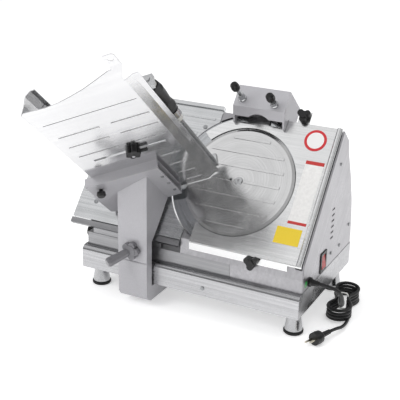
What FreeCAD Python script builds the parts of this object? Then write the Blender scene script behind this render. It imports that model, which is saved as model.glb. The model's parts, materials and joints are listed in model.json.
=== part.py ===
import FreeCAD, Part
import math
import os
import re
import Sketcher

V = FreeCAD.Vector
DOC = FreeCAD.newDocument("DeliSlicer")
DIMS = DOC.addObject("Spreadsheet::Sheet", "Dims")

# Driving dimensions in millimetres and degrees.
SIZES = {
    # base box
    "base_long": 514, "base_deep": 313, "base_low": 51, "base_tall": 50.5, "nose_r": 12.5,
    "sheet_t": 1.5, "riser_set": 15, "riser_tall": 29, "riser_end": 96,
    # feet
    "foot_r": 17, "foot_neck_r": 13, "foot_pad_r": 21, "foot_pad_t": 8, "foot_x": 234, "foot_front": 40,
    "foot_back": 273,
    # inclined cutting plane
    "lean": 40.3, "blade_x": 66.4, "blade_y": 115.5, "blade_z": 273.6, "blade_r": 150, "blade_t": 3,
    "cover_r": 121, "cover_t": 4, "cover_gap": 2, "guard_right": 186, "guard_low": 150, "guard_high": 152,
    "guard_t": 3, "lip_tall": 15, "rail_w": 12, "well_deep": 14, "run_gap": 0.05, 
    # housing behind the plane
    "house_left": 86, "house_back_low": 298, "house_shell": 2.5, "end_panel_t": 1.5,
    # gauge plate
    "gauge_t": 12, "gauge_left": 358, "gauge_half": 150,
    # carriage
    "rod_r": 9, "rod_y": 62, "rod_z": 30, "rod_long": 470, "arm_left": -147, "arm_wide": 70,
    "arm_front": -26, "pivot_r": 4, 
    # food tray
    "tray_tilt": 26.9, "tray_m": 24, "tray_t": 1.5, "tray_low": 9, "tray_left": 441, "tray_right": 488,
    "tray_near": -62, "tray_far": -262, "slot_b": 213, "head_deep": 20,
    # sharpener
    "sharp_x": -53, "sharp_long": 118, "sharp_low": 124, "sharp_high": 203, "sharp_front": 40,
    # drive
    "spindle_r": 10, "hub_r": 34, "pulley_r": 52, "motor_r": 48, "motor_long": 120, "drive_r": 13,
    # cord
    "cord_r": 3.5,
}
for row, (word, number) in enumerate(SIZES.items(), 1):
    DIMS.set("A%d" % row, word)
    DIMS.set("B%d" % row, str(number))
    DIMS.setAlias("B%d" % row, word)
DOC.recompute()

NODES = []
CORD = []


def val(text):
    """Number that an expression over the sheet gives."""
    found = DIMS.evalExpression(full(text))
    return float(getattr(found, "Value", found))


def full(text):
    """Expression with each sheet name qualified."""
    return re.sub(r"[a-z][a-z_]*", lambda word: "Dims." + word[0] if word[0] in SIZES else word[0], str(text))


def bind(obj, prop, text):
    """Ties a property to a sheet expression."""
    obj.setExpression(prop, full(text))


def move(obj, at, turn=None):
    """Puts a primitive at a bound position, turned about an axis."""
    if turn:
        obj.Placement = FreeCAD.Placement(V(), FreeCAD.Rotation(V(*turn[0]), turn[1]))
    for axis, text in zip("xyz", at):
        bind(obj, "Placement.Base." + axis, text)
    return obj


ALONG = {"x": ((0, 1, 0), 90), "y": ((1, 0, 0), -90), "z": None}


def box(size, at=(0, 0, 0)):
    """Box from its low corner."""
    obj = DOC.addObject("Part::Box", "Box")
    for prop, text in zip(("Length", "Width", "Height"), size):
        bind(obj, prop, text)
    return move(obj, at)


def rod(radius, long, at=(0, 0, 0), axis="z"):
    """Cylinder from the centre of its first end."""
    obj = DOC.addObject("Part::Cylinder", "Rod")
    bind(obj, "Radius", radius)
    bind(obj, "Height", long)
    return move(obj, at, ALONG[axis])


def cone(low, high, tall, at=(0, 0, 0), axis="z"):
    """Cone frustum from the centre of its first end."""
    obj = DOC.addObject("Part::Cone", "Cone")
    bind(obj, "Radius1", low)
    bind(obj, "Radius2", high)
    bind(obj, "Height", tall)
    return move(obj, at, ALONG[axis])


def fuse(*parts):
    """Union of parts."""
    if len(parts) == 1:
        return parts[0]
    obj = DOC.addObject("Part::MultiFuse", "Fuse")
    obj.Shapes = list(parts)
    obj.Refine = True
    return obj


def cut(base, *tools):
    """Base less the tools."""
    obj = DOC.addObject("Part::Cut", "Cut")
    obj.Base = base
    obj.Tool = fuse(*tools)
    return obj


def common(base, tool):
    """Overlap of two parts."""
    obj = DOC.addObject("Part::MultiCommon", "Common")
    obj.Shapes = [base, tool]
    return obj


def outline(body, role, points):
    """Closed sketch through bound points on an origin plane of the body."""
    sketch = body.newObject("Sketcher::SketchObject", body.Name + "Sketch")
    plane = [o for o in body.Origin.OriginFeatures if o.Role == role][0]
    sketch.AttachmentSupport = [(plane, "")]
    sketch.MapMode = "FlatFace"
    spots = [(val(a), val(b)) for a, b in points]
    for i, spot in enumerate(spots):
        end = spots[(i + 1) % len(spots)]
        sketch.addGeometry(Part.LineSegment(V(*spot, 0), V(*end, 0)), False)
    for i in range(len(spots)):
        sketch.addConstraint(Sketcher.Constraint("Coincident", i, 2, (i + 1) % len(spots), 1))
    for i, pair in enumerate(points):
        for kind, text, number in zip(("DistanceX", "DistanceY"), pair, spots[i]):
            k = sketch.addConstraint(Sketcher.Constraint(kind, -1, 1, i, 1, number))
            bind(sketch, "Constraints[%d]" % k, text)
    return sketch


def slab(points, long, start="0", role="XY_Plane"):
    """Padded outline: along z from XY_Plane, along x from YZ_Plane."""
    body = DOC.addObject("PartDesign::Body", "Slab")
    sketch = outline(body, role, points)
    pad = body.newObject("PartDesign::Pad", body.Name + "Pad")
    pad.Profile = sketch
    bind(pad, "Length", long)
    body.Tip = pad
    if role == "XY_Plane":
        return move(body, (0, 0, start))
    return move(body, (start, 0, 0))


def turned(points, at=(0, 0, 0), axis="z"):
    """Revolved (radius, height) outline."""
    body = DOC.addObject("PartDesign::Body", "Turned")
    sketch = outline(body, "XZ_Plane", points)
    turn = body.newObject("PartDesign::Revolution", body.Name + "Turn")
    turn.Profile = sketch
    turn.ReferenceAxis = (sketch, ["V_Axis"])
    turn.Angle = 360
    body.Tip = turn
    return move(body, at, ALONG[axis])


def group(*parts):
    """Separate solids kept side by side."""
    obj = DOC.addObject("Part::Compound", "Group")
    obj.Links = list(parts)
    return obj


def plane_frame(shift=(0, 0, 0)):
    """Frame of the cutting plane: x along the machine, y up the plane, z to the operator."""
    place = FreeCAD.Placement(V(val("blade_x"), val("blade_y"), val("blade_z")),
                              FreeCAD.Rotation(V(1, 0, 0), 90 - val("lean")))
    return place.multiply(FreeCAD.Placement(V(*shift), FreeCAD.Rotation()))


def tray_frame():
    """Frame of the tray: x across it, y off its back, z up its length."""
    return plane_frame().multiply(FreeCAD.Placement(V(), FreeCAD.Rotation(V(0, 0, 1), val("tray_tilt"))))


def node(name, obj, frame=None, cord=False):
    """Names a finished piece and puts it in its frame."""
    holder = group(obj) if obj.TypeId != "Part::Compound" else obj
    holder.Label = name
    if frame:
        holder.Placement = frame
    (CORD if cord else NODES).append(holder)
    return holder


PLANE = plane_frame()
TRAY = tray_frame()

# ---------------------------------------------------------------- base
TOP = "base_low + base_tall"


def nose(set_back, low, front_r, back="base_deep"):
    """Side outline of the base box with its rounded front edge."""
    r = "(%s)" % front_r
    edge = [("%s" % back, "%s" % low), ("%s" % set_back, "%s" % low)]
    top = "(base_low + base_tall - %s)" % set_back
    for k in range(7):
        a = math.radians(15 * k)
        edge.append(("%s + %s * %.5f" % (set_back, r, 1 - math.cos(a)),
                     "%s - %s * %.5f" % (top, r, 1 - math.sin(a))))
    edge.append((back, top))
    return edge


shell = slab(nose("0", "base_low", "nose_r"), "base_long", "-base_long / 2", "YZ_Plane")
hollow = slab(nose("sheet_t", "base_low - 1", "nose_r - sheet_t", "base_deep - sheet_t"),
              "base_long - 2 * sheet_t", "-base_long / 2 + sheet_t", "YZ_Plane")
screw_at = ("-108", "42")
node("base_shell", cut(shell, hollow, *[rod("2.1", "6", (x, "-2", "base_low + 18"), "y") for x in screw_at]))
node("bottom_plate", cut(box(("base_long - 2 * sheet_t - 1", "base_deep - 2 * sheet_t - 1", "sheet_t"),
                             ("-base_long / 2 + sheet_t + 0.5", "sheet_t + 0.5", "base_low + 0.5")),
                         *[rod("4.2", "6", (x, y, "base_low - 2")) for x in ("-foot_x", "foot_x")
                           for y in ("foot_front", "foot_back")]))
front_screws = [turned([("0", "0"), ("4.6", "0"), ("4.2", "1.6"), ("0", "2.2")],
                       (x, "0", "base_low + 18"), "y") for x in screw_at]
for piece in front_screws:
    piece.Placement = FreeCAD.Placement(piece.Placement.Base, FreeCAD.Rotation(V(1, 0, 0), 90))
spots = [(x, y) for x in ("-foot_x", "foot_x") for y in ("foot_front", "foot_back")]
cones = [turned([("0", "foot_pad_t"), ("foot_r + 2", "foot_pad_t"), ("foot_r + 2", "foot_pad_t + 3"),
                 ("foot_neck_r", "base_low - 6"), ("foot_neck_r - 2", "base_low"), ("4", "base_low"),
                 ("4", "base_low + 8"), ("0", "base_low + 8")], (x, y, "0")) for x, y in spots]
node("foot_cones", group(*cones))
pads = [turned([("0", "0"), ("foot_pad_r - 2", "0"), ("foot_pad_r", "2"), ("foot_pad_r", "foot_pad_t - 1.5"),
                ("foot_pad_r - 1.5", "foot_pad_t"), ("0", "foot_pad_t")], (x, y, "0")) for x, y in spots]
node("foot_pads", group(*pads))
riser = box(("base_long / 2 + riser_end - 6", "base_deep - riser_set - 40", "riser_tall"),
            ("-base_long / 2 + 6", "riser_set", TOP))
riser_hollow = box(("base_long / 2 + riser_end - 6 - 2 * sheet_t", "base_deep - riser_set - 40 - 2 * sheet_t",
                    "riser_tall"), ("-base_long / 2 + 6 + sheet_t", "riser_set + sheet_t", TOP + " - sheet_t"))
node("chassis_riser", cut(riser, riser_hollow, rod("3 + run_gap", "10", ("-base_long / 2", "48", TOP + " + 17.5"), "x")))


def placed(obj, frame):
    """Piece carried into a frame so that it can join pieces of another frame."""
    holder = group(obj)
    holder.Placement = frame
    return holder


def pose(s, n):
    """World (y, z) expressions of a point s up and n off the cutting plane."""
    return ("(blade_y + (%s) * sin(lean * 1deg) - (%s) * cos(lean * 1deg))" % (s, n),
            "(blade_z + (%s) * cos(lean * 1deg) + (%s) * sin(lean * 1deg))" % (s, n))


# ------------------------------------------------------- inclined guard plate, cover and blade
FRONT = "cover_gap + guard_t"
RIGHT = "guard_right"
plate = fuse(
    box(("guard_right + 5", "guard_low + guard_high", "guard_t"), ("-5", "-guard_low", "cover_gap")),
    box(("66", "50", "guard_t"), ("-65", "-guard_low", "cover_gap")),
    common(rod("blade_r - 4", "guard_t", (0, 0, "cover_gap")),
           slab([("0", "0"), ("-121", "105"), ("-121", "160"), ("0", "160")], "guard_t", "cover_gap")),
    slab([("-guard_low + 1", FRONT), ("-guard_low", "cover_gap"),
          ("-guard_low - lip_tall * cos(lean * 1deg)", "cover_gap - lip_tall * sin(lean * 1deg)"),
          ("-guard_low - lip_tall * cos(lean * 1deg) - 2.4", FRONT + " - lip_tall * sin(lean * 1deg) - 2.2"),
          ("-guard_low - 2.2", FRONT + " - 0.6")],
         "guard_right + 65", "-65", "YZ_Plane"),
    rod("rail_w / 2", "guard_low + guard_high", (RIGHT + " - rail_w / 2", "-guard_low", "cover_gap + 2.5"), "y"),
    box(("26", "28", "guard_t"), ("86", "guard_high - 1", "cover_gap")))
plate = cut(plate, rod("cover_r + 2", "30", (0, 0, "-10")),
            *[box(("26", "30", "20"), (x, "guard_high - 18", "-6")) for x in ("-49", "26")],
            box(("40", "400", "20"), (RIGHT + " - 30", "-200", "cover_gap - 20")))
node("guard_plate", plate, PLANE)
ribs = []
for row in range(-3, 4):
    high = 32 * row
    half = min(92.0, math.sqrt(105.0 ** 2 - high ** 2))
    ribs.append(box((2 * half, "6", "4"), (-half, "%d - 3" % high, "cover_gap + 2")))
    ribs[-1] = common(ribs[-1], box(("300", "300", "cover_t + 1.4"), ("-150", "-150", "cover_gap")))
dome = turned([("0", "cover_gap"), ("cover_r", "cover_gap"), ("cover_r", "cover_gap + 1.5"),
               ("cover_r - 6", "cover_gap + cover_t"), ("0", "cover_gap + cover_t")])
node("knife_cover", cut(fuse(dome, *ribs), rod("4.2", "20", (0, 0, "-2")), rod("3", "20", ("-18", "0", "-2")),
                        rod("10", "20", (0, 0, "cover_gap + cover_t"))),
     PLANE)
node("cover_draw_rod", turned([("0", "-80"), ("4", "-80"), ("4", "cover_gap + cover_t"),
                               ("9", "cover_gap + cover_t"), ("8", "cover_gap + cover_t + 3"),
                               ("3", "cover_gap + cover_t + 3"), ("0", "cover_gap + cover_t + 1.8")]), PLANE)
node("blade", cut(turned([("0", "-2 - blade_t"), ("blade_r - 10", "-2 - blade_t"), ("blade_r", "1.2"),
                          ("blade_r", "1.5"), ("blade_r - 14", "-1"), ("0", "-1")]),
                  rod("spindle_r", "20", (0, 0, "-10"))), PLANE)
node("spindle", turned([("5.5", "-66"), ("spindle_r", "-66"), ("spindle_r", "-12"), ("hub_r", "-12"),
                        ("hub_r", "-2 - blade_t"), ("spindle_r", "-2 - blade_t"), ("spindle_r", "-1"),
                        ("5.5", "-1")]), PLANE)
sleeve = placed(turned([("14", "-50"), ("20", "-50"), ("20", "-20"), ("32", "-20"), ("32", "-14"),
                        ("14", "-14")]), PLANE)
node("bearings", group(*[turned([("spindle_r + run_gap", a), ("14", a), ("14", b), ("spindle_r + run_gap", b)])
                         for a, b in (("-49", "-41"), ("-26", "-18"))]), PLANE)
node("driven_pulley", turned([("spindle_r", "-65"), ("pulley_r + 3", "-65"), ("pulley_r + 3", "-63"),
                              ("pulley_r", "-63"), ("pulley_r", "-54"), ("pulley_r + 3", "-54"),
                              ("pulley_r + 3", "-52"), ("spindle_r", "-52")]), PLANE)
MX, MS = "110", "-30"
node("motor_pulley", turned([("0", "-79.5"), ("5", "-79.5"), ("5", "-65"), ("drive_r + 2", "-65"), ("drive_r + 2", "-63"), ("drive_r", "-63"),
                             ("drive_r", "-54"), ("drive_r + 2", "-54"), ("drive_r + 2", "-52"), ("0", "-52")],
                            (MX, MS, "0")), PLANE)
span = math.hypot(val(MX), val(MS))
lean_in = math.atan2(val(MS), val(MX))
open_by = math.acos((val("pulley_r") - val("drive_r")) / span)


def belt_loop(proud):
    """Filled outline of the belt around both pulleys."""
    corners = []
    for side in (1, -1):
        pair = [("0", "0", "pulley_r"), (MX, MS, "drive_r")]
        for cx, cy, r in pair[::side]:
            a = lean_in + side * open_by
            corners.append(("%s + (%s + %s) * %.6f" % (cx, r, proud, math.cos(a)),
                            "%s + (%s + %s) * %.6f" % (cy, r, proud, math.sin(a))))
    return fuse(rod("pulley_r + %s" % proud, "8", (0, 0, "-62.5")),
                rod("drive_r + %s" % proud, "8", (MX, MS, "-62.5")), slab(corners, "8", "-62.5"))


node("belt", cut(belt_loop("2.3"), belt_loop("0.3")), PLANE)
posts = [rod("4", "64.5", ("128", s, "-81")) for s in ("-62", "2")]
node("motor", cut(fuse(rod("motor_r - 6", "motor_long - 30", (MX, MS, "-80 - motor_long + 30")), *posts),
                  rod("6", "12", (MX, MS, "-90"))), PLANE)

# ------------------------------------------------------------------------ housing
MID = "base_low + base_tall + riser_tall"


def house_line(inset, floor, nose_low):
    """Side outline of the housing, drawn in by an inset."""
    k = str(inset)
    return [("riser_set + " + k, floor), ("riser_set + " + k, nose_low),
            pose("-guard_low + 4 + " + k, "cover_gap - " + k), pose("guard_high - 2 - " + k, "cover_gap - " + k),
            pose("guard_high - 2 - " + k, "-40"), ("251 - " + k, "330"), ("278 - " + k, "269"),
            ("house_back_low - " + k, "208"), ("house_back_low + 9 - " + k, "150"),
            ("house_back_low + 11 - " + k, floor)]


wide = "base_long / 2 - end_panel_t - riser_end - 0.5"
left = "blade_x - house_left"
outer = fuse(slab(house_line(0, TOP, MID), wide, "riser_end + 0.5", "YZ_Plane"),
             slab(house_line(0, MID + " + 0.2", MID + " + 1"), "riser_end + 0.5 - (%s)" % left, left, "YZ_Plane"))
back_room = [(a, b) for a, b in house_line("house_shell", TOP + " - 1", MID)]
back_room[2] = pose("-guard_low + 30", "-well_deep - 2.5")
back_room[3] = pose("guard_high - 5", "-well_deep - 2.5")
back_room[1] = ("riser_set + 26", MID)
back_room[0] = ("riser_set + 26", TOP + " - 1")
room = slab(back_room, wide + " - house_shell", "riser_end + 0.5", "YZ_Plane")
room_left = list(back_room)
room_left[0] = ("riser_set + 26", MID + " - 1")
room_left[-1] = ("house_back_low + 11 - house_shell", MID + " - 1")
room_l = slab(room_left, "riser_end + 0.5 - (%s) - house_shell" % left, left + " + house_shell", "YZ_Plane")
well = placed(rod("blade_r + 4", "well_deep + cover_gap", (0, 0, "-well_deep")), PLANE)
mouth = placed(rod("14", "60", (0, 0, "-52")), PLANE)
housing = cut(fuse(cut(outer, room, room_l, well), sleeve), mouth,
              box(("20", "28", "38"), ("base_long / 2 - 12", "116", "109")),
              placed(box(("rail_w + 4", "400", "rail_w + 4"), (RIGHT + " - rail_w - 3", "-200", "cover_gap - rail_w / 2 - 0.5")),
                     PLANE))
node("motor_housing", housing)
panel = slab(house_line(0.8, TOP + " + 2", MID), "end_panel_t", "base_long / 2 - end_panel_t", "YZ_Plane")
vents = [box(("8", "16", "4"), ("base_long / 2 - 6", "167", "163 + %d" % (13 * i))) for i in range(6)]
panel = cut(panel, *vents, box(("10", "28", "38"), ("base_long / 2 - 6", "116", "109")),
            placed(box(("rail_w + 4", "400", "rail_w + 4"), (RIGHT + " - rail_w - 3", "-200", "cover_gap - rail_w / 2 - 0.5")),
                   PLANE))
node("end_panel", panel)
# ------------------------------------------------------------------------ gauge plate
gauge_right = "gauge_left - 88"
g_ribs = [box((str(long), "5", "2"), ("-gauge_left + 8", "%d" % row, "0"))
          for row, long in ((-132, 250), (-88, 218), (-44, 190), (0, 186), (44, 190), (88, 218), (128, 250))]
plate = cut(fuse(box((gauge_right, "2 * gauge_half", "gauge_t"), ("-gauge_left", "-gauge_half", "1 - gauge_t")),
                 *g_ribs),
            rod("blade_r + 3", "60", (0, 0, "-30")))
node("gauge_plate", cut(plate, *[rod("3", "8", (x, y, "-6")) for x, y in (("-314", "-108"), ("-178", "107"),
                                                                        ("-118", "109"))]), PLANE)
node("gauge_screws", group(*[turned([("0", "-2"), ("2.9", "-2"), ("2.9", "1"), ("5", "1"), ("4.4", "2.6"),
                                     ("0", "3")], (x, y, "0")) for x, y in
                             (("-314", "-108"), ("-178", "107"), ("-118", "109"))]), PLANE)
node("gauge_top_rail", cut(box(("210", "14", "12"), ("-300", "gauge_half", "-12")),
                           box(("212", "3.5", "9"), ("-301", "gauge_half + 2", "-8"))), PLANE)
node("gauge_slide_rods", group(*[rod("6", "60", ("-200", y, "1 - gauge_t - 60")) for y in ("-70", "-20")]), PLANE)
block = box(("50", "90", "26"), ("-225", "-90", "-64"))
bores = [placed(rod("6 + run_gap", "60", ("-200", y, "-80")), PLANE) for y in ("-70", "-20")]
post = slab([pose("-88", "-62"), pose("-60", "-62"), pose("-60", "-40"), pose("-88", "-40"),
             ("riser_set + 60", MID), ("riser_set + 100", MID)], "50", "blade_x - 225", "YZ_Plane")
node("gauge_bracket", cut(fuse(placed(block, PLANE), post), *bores))
sill = fuse(placed(box((gauge_right, "12", "11"), ("-gauge_left", "-gauge_half - 15", "-8")), PLANE),
            box(("170", "11", "16.5"), ("-base_long / 2 + 20", "riser_set + 1", MID)))
node("gauge_sill", sill)
DIAL = FreeCAD.Placement(V(-val("base_long") / 2 + 6, 48, val(TOP) + 17.5), FreeCAD.Rotation(V(0, 1, 0), -90))
node("dial", turned([("0", "-12"), ("3", "-12"), ("3", "1"), ("15", "1"), ("16", "4"), ("15", "15"), ("9", "18"),
                     ("0", "18")]), DIAL)

# ------------------------------------------------------------------------ carriage
node("carriage_rod", rod("rod_r", "rod_long - 20", ("-rod_long / 2 + 10", "rod_y + 23", "rod_z"), "x"))
ends = [cut(box(("10", "26", "base_low - rod_z + 12"), (x, "rod_y + 10", "rod_z - 12")),
            rod("rod_r", "12", (x + " - 1", "rod_y + 23", "rod_z"), "x"))
        for x in ("-rod_long / 2 + 10", "rod_long / 2 - 20")]
node("rod_brackets", group(*ends))
ARM_Y = "arm_front"
foot = slab([(ARM_Y, "30"), (ARM_Y + " + 6", "20"), (ARM_Y + " + 18", "14"), ("rod_y + 42", "14"),
             ("rod_y + 42", "base_low - 3"), ("-5", "base_low - 3"), ("-5", "104"), (ARM_Y, "104")],
            "arm_wide", "arm_left", "YZ_Plane")
PIVOT_Y, PIVOT_Z = ARM_Y + " + pivot_r", "104.15"
pin = rod("pivot_r", "arm_wide", ("arm_left", PIVOT_Y, PIVOT_Z), "x")
node("carriage_block", cut(fuse(foot, pin), rod("rod_r + 3", "arm_wide + 2", ("arm_left - 1", "rod_y + 23", "rod_z"), "x")))
node("carriage_bushings", group(*[
    cut(rod("rod_r + 3", "18", (x, "rod_y + 23", "rod_z"), "x"),
        rod("rod_r + run_gap", "20", (x + " - 1", "rod_y + 23", "rod_z"), "x"))
    for x in ("arm_left", "arm_left + arm_wide - 18")]))
reach = slab([(ARM_Y, "108.3"), (ARM_Y + " + 4", "104.3"), ("-5", "104.3"), ("-5", "150"), pose("-130", "10"), pose("-45", "11"),
              ("60", "400"), (ARM_Y, "400")], "arm_wide", "arm_left", "YZ_Plane")
node("arm", cut(reach, placed(box(("800", "500", "800"), ("-600", "tray_m - head_deep", "-300")), TRAY),
                rod("8", "30", ("arm_left + 35", ARM_Y + " - 2", "134"), "y"),
                rod("pivot_r + run_gap", "arm_wide + 2", ("arm_left - 1", PIVOT_Y, PIVOT_Z), "x")))
LEVER = FreeCAD.Placement(V(val("arm_left") + 35, val(ARM_Y), 134), FreeCAD.Rotation(V(1, 0, 0), 90))
star = [rod("8", "11", (12 * math.cos(math.radians(72 * i)), 12 * math.sin(math.radians(72 * i)), "1"))
        for i in range(5)]
stick = group(turned([("0", "11"), ("8", "11"), ("9", "16"), ("10", "50"), ("10.5", "58"), ("8", "62"), ("0", "62")]))
stick.Placement = FreeCAD.Placement(V(), FreeCAD.Rotation(V(0, 0, 1), V(-0.5, -0.3, 0.8)))
node("lock_lever", cut(fuse(rod("13", "12", (0, 0, "1")), stick, *star), rod("5 + run_gap", "9", (0, 0, "0"))), LEVER)
node("lock_stud", fuse(rod("7.7", "20", (0, 0, "-20")), rod("5", "8", (0, 0, "0"))), LEVER)

# ------------------------------------------------------------------------ tray and head, in the tray's frame
HX, HB = "-285", "tray_low + 4"
head = cut(box(("160", "head_deep", "138"), (HX, "tray_m - head_deep", HB)),
           box(("170", "head_deep - 4", "130"), (HX + " + 5", "tray_m - head_deep + 3", HB + " + 4")))
node("tray_head", fuse(head, box(("5", "head_deep - 4", "88"), (HX + " - 4", "tray_m - head_deep", HB + " + 2")),
                       rod("8", "5", (HX + " - 4", "tray_m - 12", HB + " + 4"), "x")), TRAY)
node("head_screws", group(*[turned([("0", "0"), ("3.6", "0"), ("3", "2"), ("0", "2.4")],
                                   (x, "tray_m - head_deep", b), "y")
                            for x, b in (("-131", "40"), ("-131", "75"), ("-131", "110"))]), TRAY)
for piece in NODES[-1].Links:
    spot = piece.Placement.Base
    piece.Placement = FreeCAD.Placement(spot, FreeCAD.Rotation(V(1, 0, 0), 90))
node("head_knob", turned([("0", "0"), ("4", "0"), ("4", "4"), ("9", "6"), ("10", "12"), ("7", "16"), ("0", "16")]),
     TRAY.multiply(FreeCAD.Placement(V(-262, val("tray_m - head_deep"), val(HB) + 112),
                                     FreeCAD.Rotation(V(1, 0, 0), 90))))


def sheet_slab(points, long, low):
    """Outline over the tray (across, up its length), padded off its back."""
    body = DOC.addObject("PartDesign::Body", "Slab")
    pad = body.newObject("PartDesign::Pad", body.Name + "Pad")
    sketch = outline(body, "XZ_Plane", points)
    pad.Profile = sketch
    pad.Reversed = True
    bind(pad, "Length", long)
    body.Tip = pad
    return move(body, (0, low, 0))


tray = sheet_slab([("-270", "tray_low"), ("tray_near", "tray_low"), ("tray_near", "tray_right"),
                   ("tray_near - 14", "tray_right - 2"), ("-107", "471"), ("-135", "458"), ("-162", "449"),
                   ("-190", "441"), ("-222", "437"), ("tray_far", "tray_left"), ("-268", "tray_left - 6")],
                  "tray_t", "tray_m")
tab = cut(sheet_slab([("-68", "tray_right - 30"), ("tray_near", "tray_right - 30"), ("-46", "tray_right + 4"),
                      ("-46", "tray_right + 38"), ("-50", "tray_right + 42"), ("-64", "tray_right + 42"),
                      ("-68", "tray_right + 38")], "tray_t", "tray_m"),
          rod("5", "10", ("-56", "tray_m - 4", "tray_right + 28"), "y"))
ridges = [box(("84", "1.2", "4"), ("-251", "tray_m - 1.2", "%d" % b)) for b in (325, 282, 239)]
ridges += [box((str(long), "1.2", "4"), ("%d" % x, "tray_m - 1.2", "%d" % b)) for x, long, b in
           ((-143, 76, 325), (-143, 76, 282), (-130, 62, 239), (-113, 42, 154), (-112, 40, 110), (-108, 36, 67),
            (-104, 32, 28))]
left_wall = slab([("-270", "tray_m + 0.2"), ("-268.5", "tray_m + 0.2"), ("-262", "tray_m + 20"),
                  ("-258", "tray_m + 38"), ("-248", "tray_m + 46"), ("-240", "tray_m + 46"),
                  ("-240", "tray_m + 48"), ("-249", "tray_m + 48"), ("-260", "tray_m + 39"),
                  ("-264", "tray_m + 20")], "tray_left - tray_low - 6", "tray_low")
right_rim = slab([("tray_near - 1", "tray_m + 0.2"), ("tray_near + 1", "tray_m + 0.2"),
                  ("tray_near + 16", "tray_m + 8"), ("tray_near + 26", "tray_m + 8"),
                  ("tray_near + 26", "tray_m + 9.6"), ("tray_near + 15", "tray_m + 9.6"),
                  ("tray_near - 1", "tray_m + 1.5")], "tray_right - tray_low - 44", "tray_low + 2")
sheet = cut(fuse(tray, tab, left_wall, right_rim, *ridges),
            box(("153", "12", "7"), ("-233", "tray_m - 6", "slot_b - 3.5")),
            box(("186", "1", "1.6"), ("-254", "tray_m", "382")))
node("tray", sheet, TRAY)
fence = fuse(box(("1.6", "52", "240"), ("-150", "tray_m + tray_t + 0.2", "40")),
             box(("24", "2", "60"), ("-161", "tray_m + tray_t + 0.2", "slot_b - 30")))
node("fence", fuse(fence, rod("3", "20", ("-149", "tray_m + tray_t + 0.2 - 18", "slot_b"), "y")), TRAY)
KNOB = TRAY.multiply(FreeCAD.Placement(V(-149, val("tray_m") - 0.4, val("slot_b")), FreeCAD.Rotation(V(1, 0, 0), 90)))
knob = cut(fuse(rod("9", "12", (0, 0, "0")),
                *[rod("5.5", "12", (10 * math.cos(math.radians(60 * i)), 10 * math.sin(math.radians(60 * i)), "0"))
                  for i in range(6)], box(("30", "6", "5"), ("0", "-3", "4"))), rod("3", "30", (0, 0, "-2")))
node("fence_knob", knob, KNOB)

# ------------------------------------------------------------------------ pusher, in the tray's frame
PX, PY = "-40", "tray_m + 25"
node("pusher_rod", rod("5", "366", (PX, PY, "30")), TRAY)
blocks = [cut(box(("20", "24", "12"), ("-50", "tray_m + 9.6", b)), rod("5", "20", (PX, PY, b + " - 2")))
          for b in ("34", "382")]
node("rod_blocks", group(*blocks), TRAY)
node("pusher_sleeve", turned([("5 + run_gap", "238"), ("9", "238"), ("9", "376"), ("5 + run_gap", "376")],
                             (PX, PY, "0")), TRAY)
arm = fuse(rod("13", "20", (PX, PY, "256")), box(("26", "12", "20"), ("-66", "tray_m + 27", "256")),
           box(("76", "90", "3"), ("-142", "tray_m + 4", "256")))
teeth = [cone("2", "0.5", "9", (str(-130 + 26 * i), "tray_m + %d" % (20 + 28 * j), "247"))
         for i in range(3) for j in range(3)]
node("pusher_plate", cut(fuse(arm, *teeth), rod("9 + run_gap", "40", (PX, PY, "246"))), TRAY)
grip = turned([("9 + run_gap", "278"), ("12", "278"), ("14.5", "290"), ("12.5", "310"), ("14", "334"),
               ("14.5", "354"), ("12", "372"), ("9 + run_gap", "372")], (PX, PY, "0"))
node("pusher_grip", grip, TRAY)

# ------------------------------------------------------------------------ sharpener, in the cutting plane's frame
case = slab([("sharp_low + 4", FRONT + " + 1.5"), ("sharp_low + 4", "14"), ("guard_high + 2", "sharp_front"),
             ("sharp_high", "sharp_front"), ("sharp_high", "-42"), ("guard_high + 2", "-42"),
             ("guard_high + 2", FRONT + " + 1.5")], "sharp_long", "sharp_x", "YZ_Plane")
cave = slab([("sharp_low - 2", "4"), ("sharp_low - 2", "12"), ("guard_high + 2", "sharp_front - 4"),
             ("sharp_high - 4", "sharp_front - 4"), ("sharp_high - 4", "-14"), ("guard_high + 5", "-14"),
             ("guard_high + 5", "4")], "sharp_long - 8", "sharp_x + 4", "YZ_Plane")
arch = rod("45", "60", ("sharp_x + sharp_long / 2", "sharp_low - 24", FRONT))
LP, RP = ("-36", "172"), ("39", "168")
case = cut(case, cave, arch, *[rod("4.5", "20", (x, y, "sharp_front - 10")) for x, y in (LP, RP)],
           rod("6 + run_gap", "80", ("6", "guard_high + 1", "-30"), "y"))
node("sharpener_case", case, PLANE)
node("ferrules", group(*[turned([("3.5 + run_gap", "sharp_front - 5"), ("4.5", "sharp_front - 5"),
                                 ("4.5", "sharp_front"), ("9", "sharp_front"), ("9", "sharp_front + 4"),
                                 ("7.5", "sharp_front + 6"), ("7", "sharp_front + %d" % tall),
                                 ("3.5 + run_gap", "sharp_front + %d" % tall)], (x, y, "0"))
                         for (x, y), tall in ((LP, 22), (RP, 15))]), PLANE)
for name, (x, y), out in (("left", LP, 34), ("right", RP, 14)):
    stem = turned([("0", "12"), ("3.5", "12"), ("3.5", "sharp_front + 10 + %d" % out),
                   ("0", "sharp_front + 10 + %d" % out)], (x, y, "0"))
    node(name + "_plunger", group(stem, cut(rod("13", "6", (x, y, "12")), rod("3.5", "8", (x, y, "11")))), PLANE)
    top = "sharp_front + 10 + %d" % out
    node(name + "_plunger_knob", turned([("0", top), ("6", top), ("9", top + " + 3"), ("9.5", top + " + 9"),
                                         ("8.5", top + " + 17"), ("5", top + " + 21"), ("0", top + " + 22")],
                                        (x, y, "0")), PLANE)


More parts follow.
